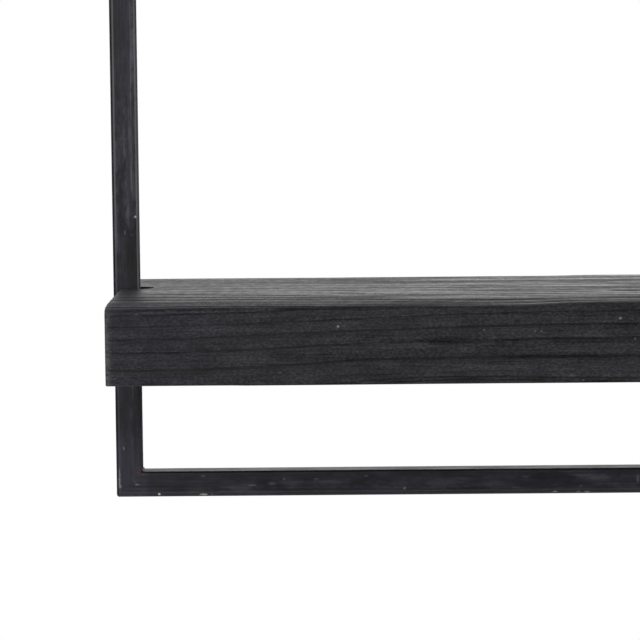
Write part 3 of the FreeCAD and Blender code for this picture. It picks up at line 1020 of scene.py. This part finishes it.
def brushed_depth(rings, settings, random):
    """How far the brush took the wood down at a share of a ring, more in some rings than in others.

    The soft wood that starts a ring is lowest and rises as a power of the share to the hard wood that ends
    it, and a narrow bell-shaped groove lies where the next ring starts.
    """
    share = rings % 1
    softness = random.uniform(*RING_SOFTNESS, RING_LIMIT)[np.floor(rings).astype(int) % RING_LIMIT]
    hollow = settings.brush_depth * (1 - share) ** RING_CURVE
    groove = settings.groove_depth * np.exp(-((share - GROOVE_MIDDLE) / GROOVE_WIDTH) ** 2)
    return softness * (hollow + groove)


def plank_relief(points, angles, log, settings):
    """Depth of the surface below its true place along its normal, in metres, over the plank's grid.

    The brushed rings, broad hollows and fine streaks along the grain, and knocks on the four long
    edges, strongest where the normal points diagonally. The highest share of it all is planed flat.
    """
    random = np.random.default_rng(log["seed"])
    grid = points.shape[:2]
    rings = ring_count(points / MM, log, settings.ring_width / MM)
    depth = brushed_depth(rings, settings, random)
    depth += settings.fibre_depth * (1 + streaks(random, grid, FIBRE_STREAKS))
    depth += settings.hollows / 2 * (1 + streaks(random, grid, HOLLOW_STREAKS))
    slant = np.abs(np.sin(2 * angles))[None, :]
    knocks = np.clip(streaks(random, grid, KNOCK_STREAKS) - KNOCK_FLOOR, 0, None)
    depth += settings.edge_wear * slant * knocks
    return np.clip(depth - np.quantile(depth, PLANED_SHARE), PLANED_DEPTH * MM, None)


def lowered_top(points, log, settings, wane):
    """How far the top lies below its true height, in metres, over the plank's grid.

    The worn front edge is the sum of its slopes, each an exponential of the distance from the front,
    scaled by a step and two waves along x. The worn corner falls off exponentially from the left end and
    from the front. The wane falls off with a bell curve from the back edge and ends at one place. All
    fade evenly with the depth below the top, so front and back stay plumb.
    """
    x = points[..., 0] / MM
    from_front = (points[..., 1] - points[..., 1].min()) / MM
    from_back = (points[..., 1].max() - points[..., 1]) / MM
    right_part = 0.5 + 0.5 * np.tanh((x - WEAR_END_X) / WEAR_SOFT_LENGTH)
    waves = sum(np.sin(rate * x + turn * log["seed"]) for turn, rate in enumerate(WEAR_WAVES, 1))
    amount = WEAR_LEFT + (WEAR_RIGHT - WEAR_LEFT) * right_part
    amount = amount * (1 + WEAR_UNEVENNESS / 2 * waves) / (1 + WEAR_UNEVENNESS)
    slope = sum(share * np.exp(-from_front / length) for share, length in WEAR_SLOPES)
    worn = settings.front_wear * amount * slope
    from_left = x - x.min()
    corner = np.exp(-from_left / CORNER_WEAR_ALONG - from_front / CORNER_WEAR_ACROSS)
    worn += log["corner_wear"] * MM * corner
    left_part = 0.5 - 0.5 * np.tanh((x - WANE_END_X) / WANE_SOFT_LENGTH)
    waned = wane * left_part * np.exp(-(from_back / WANE_REACH) ** 2)
    below = (points[..., 2].max() - points[..., 2]) / MM
    return (worn + waned) * np.clip(1 - below / WEAR_FADE, 0, 1)


def grid_faces(rows, columns):
    """Quads of a grid whose columns close on themselves, as rows of four point numbers."""
    row = np.arange(rows - 1)[:, None] * columns
    column = np.arange(columns)[None, :]
    following = (column + 1) % columns
    corners = (row + column, row + following, row + columns + following, row + columns + column)
    return np.stack(corners, axis=-1).reshape(-1, 4)


def mesh_from(name, points, quads):
    """A mesh of quads, put in with whole arrays."""
    mesh = bpy.data.meshes.new(name)
    mesh.vertices.add(len(points))
    mesh.vertices.foreach_set("co", points.astype(np.float32).ravel())
    mesh.loops.add(quads.size)
    mesh.loops.foreach_set("vertex_index", quads.astype(np.int32).ravel())
    mesh.polygons.add(len(quads))
    mesh.polygons.foreach_set("loop_start", np.arange(0, quads.size, 4, dtype=np.int32))
    mesh.update(calc_edges=True)
    return mesh


def close_mesh(mesh):
    """Merges points that meet and turns every face outwards."""
    work = bmesh.new()
    work.from_mesh(mesh)
    bmesh.ops.remove_doubles(work, verts=work.verts, dist=MERGE_DISTANCE * MM)
    bmesh.ops.recalc_face_normals(work, faces=work.faces)
    work.to_mesh(mesh)
    work.free()


def add_object(name, data):
    """A new object in the scene."""
    made = bpy.data.objects.new(name, data)
    bpy.context.scene.collection.objects.link(made)
    return made


def plank_blank(name, low, high, log, settings, wane):
    """The plank before its cuts: its section carried along its length, less the relief.

    An end face is the last section drawn in to the spine, a line along the middle of the section's width.
    """
    middle = np.array((low + high) / 2)
    half = np.array((high - low) / 2)
    easing = settings.easing
    radii = np.array([easing, settings.front_round, easing, easing])
    inner, angles, radius = rounded_section(half[1:], radii)
    x, shrink, draw = plank_stations(half[0], easing)
    spine_y = np.clip(inner[:, 0], half[2] - half[1], half[1] - half[2])
    spine = np.stack([spine_y, np.zeros(len(inner))], axis=1)
    normal = np.stack([np.cos(angles), np.sin(angles)], axis=1)[None, :, :]
    along = np.broadcast_to(x[:, None, None], (len(x), len(inner), 1))
    outline = inner[None, :, :] + (radius[None, :] - shrink[:, None])[..., None] * normal
    true_place = np.concatenate([along, outline], axis=2)
    side = (1 - draw)[:, None]
    depth = plank_relief(true_place, angles, log, settings) * side
    drop = lowered_top(true_place, log, settings, wane)
    outline = outline - depth[..., None] * normal
    outline[..., 1] -= drop
    drawn = outline * side[..., None] + spine[None, :, :] * draw[:, None, None]
    place = np.concatenate([along, drawn], axis=2)
    mesh = mesh_from(name, place.reshape(-1, 3) + middle, grid_faces(len(x), len(inner)))
    close_mesh(mesh)
    return add_object(name, mesh)


def arc(start, end, steps, radius):
    """Points on an arc about the origin, between two angles."""
    turn = np.linspace(start, end, steps + 1)
    return radius * np.stack([np.cos(turn), np.sin(turn)], axis=1)


def obround(half_width, rise):
    """A closed outline: a half circle below the origin and one above the rise."""
    low_arc = arc(math.pi, 2 * math.pi, CUT_ARC_STEPS, half_width)
    high_arc = arc(0, math.pi, CUT_ARC_STEPS, half_width) + (0, rise)
    return np.concatenate([low_arc, high_arc])


def rounded_outline(half_width, half_height, radius):
    """A closed outline: a rectangle whose corners are quarter circles."""
    outline = []
    for quarter in range(4):
        start = quarter * math.pi / 2
        corner = arc(start, start + math.pi / 2, CUT_ARC_STEPS // 3, radius)
        sign = np.sign(corner.mean(axis=0))
        outline.append(sign * (half_width - radius, half_height - radius) + corner)
    return np.concatenate(outline)


def prism(outline, axis, start, end):
    """An outline carried straight along an axis: points, and faces as lists of point numbers."""
    count = len(outline)
    points = np.zeros((2 * count, 3))
    across = [a for a in range(3) if a != axis]
    points[:, across] = np.concatenate([outline, outline])
    points[:count, axis] = start
    points[count:, axis] = end
    ring = np.arange(count)
    following = (ring + 1) % count
    sides = np.stack([ring, following, following + count, ring + count], axis=1)
    return points, sides.tolist() + [ring[::-1].tolist(), (ring + count).tolist()]


def end_slot_cut(low, high, side):
    """The round-bottomed slot for the upright, through the thickness at one end."""
    half_width = TUBE_HALF + SLOT_CLEARANCE * MM
    outline = obround(half_width, 2 * SLOT_DEPTH * MM)[:, ::-1] * (side, 1)
    inside = side * (high.x - SLOT_DEPTH * MM + half_width)
    return prism(outline + (inside, FRAME_Y), 2, low.z - CUT_OVERRUN * MM, high.z + CUT_OVERRUN * MM)


def rebate_cut(hanger):
    """The shallow rebate that a hanger plate lies in."""
    low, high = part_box(hanger)
    half = (high - low) / 2
    clearance = REBATE_CLEARANCE * MM
    outline = rounded_outline(half.x + clearance, half.z + clearance, REBATE_CORNER * MM)
    middle = (low + high) / 2
    return prism(outline + (middle.x, middle.z), 1, low.y, high.y + CUT_OVERRUN * MM)


def pocket_cut(hanger):
    """The deeper pocket behind a keyhole, for the head of the wall screw."""
    low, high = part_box(hanger)
    middle = (low + high) / 2
    outline = obround(POCKET_WIDTH / 2 * MM, POCKET_RISE * MM)
    place = (middle.x, middle.z - POCKET_DROP * MM)
    return prism(outline + place, 1, low.y - POCKET_DEPTH * MM, high.y + CUT_OVERRUN * MM)


def cut_from(piece, cuts):
    """Cuts prisms that stand clear of each other from the piece, for good."""
    points = []
    faces = []
    count = 0
    for cut_points, cut_faces in cuts:
        points.append(cut_points)
        faces += [[number + count for number in face] for face in cut_faces]
        count += len(cut_points)
    mesh = bpy.data.meshes.new("cuts")
    mesh.from_pydata(np.concatenate(points).tolist(), [], faces)
    close_mesh(mesh)
    cutter = add_object("cuts", mesh)
    modifier = piece.modifiers.new("Cuts", "BOOLEAN")
    modifier.operation = "DIFFERENCE"
    modifier.solver = "EXACT"
    modifier.object = cutter
    seen = piece.evaluated_get(bpy.context.evaluated_depsgraph_get())
    done = bpy.data.meshes.new_from_object(seen)
    piece.modifiers.clear()
    old = piece.data
    piece.data = done
    done.name = piece.name
    bpy.data.meshes.remove(old)
    bpy.data.objects.remove(cutter)
    bpy.data.meshes.remove(mesh)


def mark_rings(piece, middle, log, ring_width):
    """Writes each point's ring count to the attribute that the wood's finish reads."""
    mesh = piece.data
    places = np.empty(len(mesh.vertices) * 3, np.float32)
    mesh.vertices.foreach_get("co", places)
    points = (places.reshape(-1, 3).astype(float) - np.array(middle)) / MM
    rings = ring_count(points, log, ring_width / MM)
    attribute = mesh.attributes.new("rings", "FLOAT", "POINT")
    attribute.data.foreach_set("value", rings.astype(np.float32))


def make_plank(level, settings, finish):
    """One plank: blank, end slots and hanger rebates, key pockets, ring marks and finish."""
    node = level + "_plank"
    low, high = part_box(node)
    log = LOGS[level]
    wane = settings.wane if level == "lower" else 0.0
    piece = plank_blank(level + "_brushed_plank", low, high, log, settings, wane)
    hangers = [level + "_" + side + "_hanger" for side in SIDES]
    slots = [end_slot_cut(low, high, side) for side in (-1, 1)]
    cut_from(piece, slots + [rebate_cut(hanger) for hanger in hangers])
    cut_from(piece, [pocket_cut(hanger) for hanger in hangers])
    mark_rings(piece, (low + high) / 2, log, settings.ring_width)
    piece.data.shade_smooth()
    piece.data.set_sharp_from_angle(angle=SMOOTH_ANGLE)
    piece.data.materials.clear()
    piece.data.materials.append(finish)
    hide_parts(node)
    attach(piece, "root")


# Finishes.


def ring_lines(noises, levels):
    """The dark line that ends each ring, ragged, and weaker in places."""
    rags = (noises["ring_rags"] - NOISE_MIDDLE) * RING_RAGGEDNESS
    rings = field(rags.tree, "ShaderNodeAttribute", output="Fac", attribute_name="rings")
    line = ramp((rings + rags).math("FRACT"), RING_LINE)
    return line * levels["ring_strength"] * levels["ring_breaks"]


def rubbed_ends(place, patchiness):
    """A band beside the edges of both end faces, not on them, where the stain is rubbed thin."""
    from_end = SHELF_HIGH.x - abs(axes(place)[0])
    band = reach(from_end, END_RUB_REACH, 0.0, END_RUB)
    return band * (from_end > END_FACE_DEPTH * MM) * patchiness


def wood_gloss(place, noises, levels):
    """Roughness of the wood: fine streaks, bands that grow along it, patches and a duller front strip."""
    x, y, _ = axes(place)
    from_front = y - SHELF_LOW.y
    strip = reach(from_front, DULL_STRIP_END, 0.0, FRONT_DULLNESS) * reach(from_front, DULL_STRIP_START)
    bands = levels["band_gloss"] * reach(x, BAND_GROWTH, *BAND_SWING)
    return noises["fibre"] * FIBRE_ROUGHNESS + WOOD_ROUGHNESS + bands + strip + levels["patch_gloss"]


def stained_wood(settings):
    """Brushed softwood under black stain: a dark line ends each ring, with fine streaks along the grain."""
    made, place = new_material("stained_wood")
    noises = {name: noise(place, *values) for name, values in WOOD_NOISES.items()}
    levels = spans(noises, WOOD_SPANS)
    soaked = blend(reach(axes(place)[0], BLUE_REACH), settings.stain, settings.blue_stain)
    stained = blend(ring_lines(noises, levels), soaked, settings.line_stain)
    tone = levels["fibre_tone"] * levels["mottle_tone"] * levels["grit_tone"]
    nicks = marks_mask(place, NICKS, NICK_DEPTH, SHELF_LOW.y, SHELF_MID_Z)
    bare = use_group("specks", place, WOOD_SPECKS)[0].math("MAXIMUM", nicks)
    bare = bare.math("MAXIMUM", rubbed_ends(place, levels["end_rub"]))
    colour = blend(bare, shaded(stained, tone), settings.nick_colour)
    height = noises["grit"] * GRIT_HEIGHT + noises["fibre"]
    roughness = wood_gloss(place, noises, levels)
    finish_material(colour, roughness, height, WOOD_BUMP, specular=WOOD_SPECULAR, sheen=WOOD_SHEEN)
    return made


def black_steel(name, settings):
    """Black tube or flat: the coat with this member's looks, and the marks placed on its front."""
    made, place = new_material(name)
    colours = (
        settings.scale_colour, settings.smear_colour, settings.rub_highlight_colour, settings.rust_colour,
        settings.chip_colour,
    )
    values = {
        **STEEL_LOOKS[name], "Marks": marks_mask(place, STEEL_MARKS[name], MARK_DEPTH, TUBE_LOW.y),
        **dict(zip(COAT_COLOURS, map(rgba, colours))),
    }
    finish_material(*use_group("black_coat", place, values), COAT_BUMP)
    return made


def weld_steel(settings):
    """Weld bead: dark, scaly, with rust in its pits."""
    made, place = new_material("weld_steel")
    cloud = use_group("clouds", place, {"Cells": WELD_CELLS})[0]
    colour = blend(span(cloud, *WELD_RUST), settings.weld_colour, settings.rust_colour)
    height = cloud * WELD_CLOUD_HEIGHT + noise(place, WELD_RIPPLES)
    finish_material(colour, span(cloud, *WELD_ROUGHNESS), height, WELD_BUMP)
    return made


def black_screw(settings):
    """Black oxide screw: near black, rubbed a little by the driver."""
    made, place = new_material("black_screw")
    cloud = use_group("clouds", place, {"Cells": SCREW_CELLS})[0]
    scratched = use_group("scratches", place, {"Fineness": SCREW_SCRATCHES})[0]
    oxide = shaded(settings.oxide_colour, span(cloud, *SCREW_TONE))
    colour = blend(scratched, oxide, settings.dull_zinc_colour)
    finish_material(colour, span(cloud, *SCREW_ROUGHNESS), cloud, SCREW_BUMP, metallic=SCREW_METALLIC)
    return made


def screw_painted_shade(place):
    """Painted shade in the seam about each hanger screw's head and in its recess, from 0 to 1."""
    x, y, z = axes(place)
    low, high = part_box("lower_right_hanger")
    from_plate = abs(abs(x) - (low.x + high.x) / 2)
    across = from_plate - HANGER_SCREW_SPACING / 2 * MM
    upward = abs(z - FRAME_MID_Z) - SHELF_RISE
    from_screw = diagonal(across, upward)
    seam = reach(abs(from_screw - HEAD_RADIUS * MM), (SEAM_HALF_WIDTH, 0.0))
    recess = (y < high.y - RECESS_DEPTH * MM) * (from_screw < RECESS_RADIUS * MM)
    return seam.math("MAXIMUM", recess)


def zinc_steel(settings):
    """Zinc-plated steel: plating dulled in clouds, with hairline scratches and painted shade about the
    screws.
    """
    made, place = new_material("zinc_steel")
    cloud = use_group("clouds", place, {"Cells": ZINC_CELLS})[0]
    scratched = use_group("scratches", place, {"Fineness": ZINC_SCRATCHES})[0]
    plated = blend(span(cloud, *ZINC_DULLING), settings.zinc_colour, settings.dull_zinc_colour)
    bright = blend(scratched, plated, settings.scratch_colour)
    # Painted shade in the screws' seams and recesses.
    colour = blend(screw_painted_shade(place) * SEAM_SHADE_DENSITY, bright, settings.seam_shade_colour)
    height = scratched * SCRATCH_HEIGHT + cloud
    finish_material(colour, span(cloud, *ZINC_ROUGHNESS), height, ZINC_BUMP, metallic=1.0)
    return made


def dress(nodes, material):
    """Gives a material to every slot of some CAD nodes."""
    for name in nodes:
        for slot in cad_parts[name].material_slots:
            slot.material = material


# The stage.


def make_camera(settings):
    """The camera: turned by yaw, then pitch, then roll, from looking along +Y."""
    pitch, yaw = EYE_PITCH, EYE_YAW
    forward = Vector((math.sin(yaw) * math.cos(pitch), math.cos(yaw) * math.cos(pitch), -math.sin(pitch)))
    level = Vector((math.cos(yaw), -math.sin(yaw), 0.0))
    upright = level.cross(forward)
    right = math.cos(EYE_ROLL) * level + math.sin(EYE_ROLL) * upright
    up = -math.sin(EYE_ROLL) * level + math.cos(EYE_ROLL) * upright
    data = bpy.data.cameras.new("camera")
    data.lens = settings.lens
    data.sensor_width = SENSOR
    camera = add_object("camera", data)
    place = Vector((-TUBE_HIGH.x + EYE_RIGHT, TUBE_LOW.y - EYE_FRONT, TUBE_LOW.z + EYE_ABOVE))
    turn = Matrix((right, up, -forward)).transposed().to_4x4()
    camera.matrix_world = Matrix.Translation(place) @ turn
    bpy.context.scene.camera = camera


def make_lamps():
    """Soft area lamps, each aimed at its point."""
    for name, (place, aim, size, power) in LAMPS.items():
        data = bpy.data.lights.new(name, "AREA")
        data.shape = "RECTANGLE"
        data.size, data.size_y = size
        data.energy = power
        lamp = add_object(name, data)
        lamp.location = place
        lamp.rotation_euler = (Vector(aim) - Vector(place)).to_track_quat("-Z", "Y").to_euler()


def make_world(settings):
    """White to the camera; in reflections white behind and above, dim elsewhere; even light otherwise."""
    world = bpy.data.worlds.new("studio")
    world.use_nodes = True
    tree = world.node_tree
    tree.nodes.clear()
    _, back, up = axes(field(tree, "ShaderNodeTexCoord", output="Generated"))
    backdrop = span(back, *SWEEP_BEHIND) * span(up, *SWEEP_ABOVE)
    sweep = backdrop * (SWEEP_BRIGHT - SWEEP_DIM) + SWEEP_DIM
    levels = ((WHITE, settings.ambient), (sweep, 1.0), (WHITE, 1.0))
    even, mirrored, white = [
        field(tree, "ShaderNodeBackground", {"Color": colour, "Strength": strength})
        for colour, strength in levels
    ]
    kinds = ("Is Camera Ray", "Is Glossy Ray", "Is Transmission Ray")
    seen, glossy, passed = [field(tree, "ShaderNodeLightPath", output=kind) for kind in kinds]
    lit = field(tree, "ShaderNodeMixShader", {0: glossy.math("MAXIMUM", passed), 1: even, 2: mirrored})
    shown = field(tree, "ShaderNodeMixShader", {0: seen, 1: lit, 2: white})
    put(tree, "ShaderNodeOutputWorld", {"Surface": shown})
    bpy.context.scene.world = world


def floor_finish(settings):
    """Pale matt floor with a faint unevenness, clear when it is looked through from below."""
    made, place = new_material("floor")
    tree = made.node_tree
    cloud = noise(place, FLOOR_CELLS, CLOUD_DETAIL)
    colour = shaded(settings.floor_colour, span(cloud, *FLOOR_TONE))
    inputs = {"Base Color": colour, "Roughness": span(cloud, *FLOOR_ROUGHNESS)}
    pale = field(tree, "ShaderNodeBsdfPrincipled", inputs)
    clear = field(tree, "ShaderNodeBsdfTransparent")
    below = field(tree, "ShaderNodeNewGeometry", output="Backfacing")
    shown = field(tree, "ShaderNodeMixShader", {0: below, 1: pale, 2: clear})
    put(tree, "ShaderNodeOutputMaterial", {"Surface": shown})
    return made


def make_floor(settings):
    """A round floor below the unit: one flat face whose corners lie on a circle."""
    circle = arc(0, 2 * math.pi, FLOOR_STEPS, settings.floor_radius)[:-1]
    height = np.full((FLOOR_STEPS, 1), CAD_BOX[0].z - settings.floor_drop)
    points = np.concatenate([circle, height], axis=1)
    mesh = bpy.data.meshes.new("floor")
    mesh.from_pydata(points.tolist(), [], [list(range(FLOOR_STEPS))])
    mesh.materials.append(floor_finish(settings))
    add_object("floor", mesh)


# The add-on's operators and panel.


class SHELF_OT_planks(bpy.types.Operator):
    """Builds the two brushed planks and gives them their stain"""

    bl_idname = "shelf.planks"
    bl_label = "Planks"

    def execute(self, context):
        settings = context.scene.shelf_planks
        finish = stained_wood(settings)
        for level in LEVELS:
            make_plank(level, settings, finish)
        return {"FINISHED"}


class SHELF_OT_tubes(bpy.types.Operator):
    """Finishes the uprights and rails of the frame"""

    bl_idname = "shelf.tubes"
    bl_label = "Frame Tubes"

    def execute(self, context):
        settings = context.scene.shelf_steel
        dress(UPRIGHTS, black_steel("upright_steel", settings))
        dress(RAILS, black_steel("rail_steel", settings))
        return {"FINISHED"}


class SHELF_OT_tabs(bpy.types.Operator):
    """Finishes the support tabs under the planks"""

    bl_idname = "shelf.tabs"
    bl_label = "Support Tabs"

    def execute(self, context):
        dress([corner + "_tab" for corner in CORNERS], black_steel("tab_steel", context.scene.shelf_steel))
        return {"FINISHED"}


class SHELF_OT_welds(bpy.types.Operator):
    """Finishes the beads in the frame's corners and under the tabs"""

    bl_idname = "shelf.welds"
    bl_label = "Welds"

    def execute(self, context):
        beads = [corner + kind for corner in CORNERS for kind in ("_corner_weld", "_tab_weld")]
        dress(beads, weld_steel(context.scene.shelf_steel))
        return {"FINISHED"}


class SHELF_OT_hardware(bpy.types.Operator):
    """Finishes the screws and the hanger plates"""

    bl_idname = "shelf.hardware"
    bl_label = "Screws and Hangers"

    def execute(self, context):
        settings = context.scene.shelf_hardware
        dress(["tab_screws"], black_screw(settings))
        hangers = [corner + "_hanger" for corner in CORNERS]
        dress(hangers + ["hanger_screws"], zinc_steel(settings))
        return {"FINISHED"}


class SHELF_OT_stage(bpy.types.Operator):
    """Adds the floor, the light and the camera"""

    bl_idname = "shelf.stage"
    bl_label = "Stage"

    def execute(self, context):
        settings = context.scene.shelf_stage
        make_floor(settings)
        make_world(settings)
        make_lamps()
        make_camera(settings)
        context.scene.view_settings.view_transform = "Standard"
        return {"FINISHED"}


class SHELF_PT_panel(bpy.types.Panel):
    """Lists the steps that dress the shelving unit, with their settings"""

    bl_idname = "SHELF_PT_panel"
    bl_label = "Wall Shelf"
    bl_space_type = "VIEW_3D"
    bl_region_type = "UI"
    bl_category = "Wall Shelf"

    def draw(self, context):
        for operator in OPERATORS:
            self.layout.operator(operator.bl_idname)
        for name in SETTINGS:
            box = self.layout.box()
            group = getattr(context.scene, name)
            for key in group.bl_rna.properties.keys():
                if key not in ("rna_type", "name"):
                    box.prop(group, key)


OPERATORS = (
    SHELF_OT_planks, SHELF_OT_tubes, SHELF_OT_tabs, SHELF_OT_welds, SHELF_OT_hardware, SHELF_OT_stage,
)
SETTINGS = {
    "shelf_planks": PlankSettings,
    "shelf_steel": SteelSettings,
    "shelf_hardware": HardwareSettings,
    "shelf_stage": StageSettings,
}


def register():
    """Adds the classes and hangs the settings on the scene."""
    for kind in (*SETTINGS.values(), *OPERATORS, SHELF_PT_panel):
        bpy.utils.register_class(kind)
    for name, kind in SETTINGS.items():
        setattr(bpy.types.Scene, name, bpy.props.PointerProperty(type=kind))


def unregister():
    """Takes the settings and the classes away again."""
    for name in SETTINGS:
        delattr(bpy.types.Scene, name)
    for kind in (SHELF_PT_panel, *reversed(OPERATORS), *SETTINGS.values()):
        bpy.utils.unregister_class(kind)


def main():
    """Registers the add-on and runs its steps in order."""
    register()
    bpy.ops.shelf.planks()
    bpy.ops.shelf.tubes()
    bpy.ops.shelf.tabs()
    bpy.ops.shelf.welds()
    bpy.ops.shelf.hardware()
    bpy.ops.shelf.stage()


if __name__ == "__main__":
    main()
